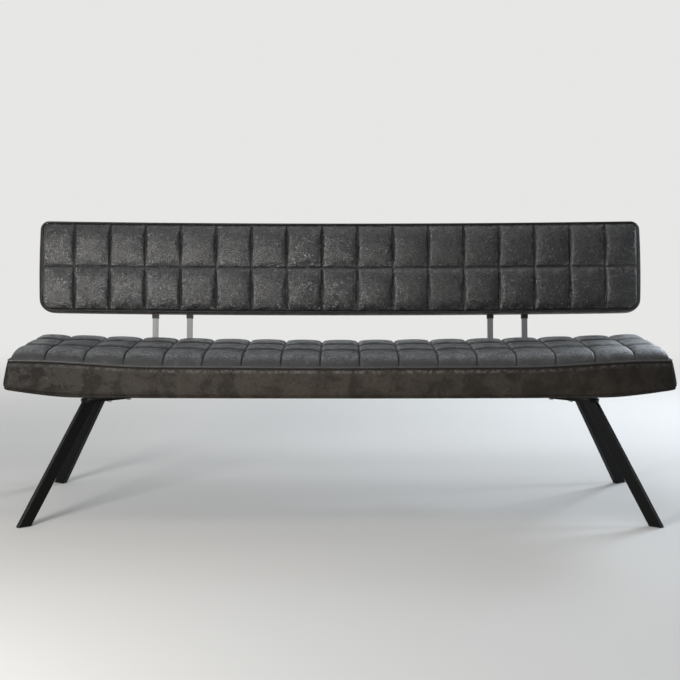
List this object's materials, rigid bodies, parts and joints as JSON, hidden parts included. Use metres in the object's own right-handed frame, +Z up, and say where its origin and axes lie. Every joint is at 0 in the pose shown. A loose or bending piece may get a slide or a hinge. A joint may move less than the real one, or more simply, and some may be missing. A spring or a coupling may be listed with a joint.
{
  "type": "dining bench",
  "caption": "Long upholstered dining bench with a quilted leather seat, a quilted backrest on polished posts and splayed black steel legs.",
  "frame": {"origin": "on the floor, under the middle of the bench's outline", "axes": "+X along the bench, to the right of someone looking at its front; +Y from the front to the backrest; +Z up"},
  "size_m": [2, 0.7088, 0.8818],
  "materials": {
    "seat_leather": "soft, lightly glazed, mottled blue-grey leather",
    "band_leather": "mottled brown-grey leather",
    "back_leather": "mottled dark grey leather",
    "piping_leather": "dark leather piping",
    "timber": "planed softwood",
    "plywood": "sanded plywood",
    "foam": "open-cell foam and wadding",
    "dust_cover": "black non-woven cloth",
    "polished_steel": "polished",
    "black_steel": "black semi-gloss powder coat",
    "black_plastic": "moulded, fine matt",
    "zinc": "bright zinc plating"
  },
  "bodies": {
    "root": {"seat_front_rail": "timber", "seat_rear_rail": "timber", "seat_end_rails": "timber", "seat_cross_rails": "timber", "seat_corner_blocks": "timber", "seat_mount_boards": "plywood", "seat_deck": "plywood", "seat_foam": "foam", "seat_quilt": "seat_leather", "seat_band": "band_leather", "seat_piping": "seat_leather", "seat_dust_cover": "dust_cover", "hem_staples": "zinc", "back_bottom_rail": "timber", "back_top_rail": "timber", "back_end_stiles": "timber", "back_post_blocks": "timber", "back_front_board": "plywood", "back_rear_board": "plywood", "back_foam": "foam", "back_rear_pad": "foam", "back_quilt": "back_leather", "back_band": "back_leather", "back_front_piping": "piping_leather", "back_rear_piping": "piping_leather", "back_rear_cover": "back_leather", "post_left_outer": "polished_steel", "post_left_inner": "polished_steel", "post_right_inner": "polished_steel", "post_right_outer": "polished_steel", "post_collars": "black_plastic", "post_screws": "zinc", "back_bracket_left": "polished_steel", "back_bracket_right": "polished_steel", "bracket_bolts": "zinc", "bracket_tee_nuts": "zinc", "leg_front_left": "black_steel", "leg_front_right": "black_steel", "leg_rear_left": "black_steel", "leg_rear_right": "black_steel", "leg_plate_front_left": "black_steel", "leg_plate_front_right": "black_steel", "leg_plate_rear_left": "black_steel", "leg_plate_rear_right": "black_steel", "leg_packers": "black_plastic", "foot_front_left": "black_plastic", "foot_front_right": "black_plastic", "foot_rear_left": "black_plastic", "foot_rear_right": "black_plastic", "leg_bolts": "zinc", "leg_tee_nuts": "zinc"}
  },
  "joints": []
}
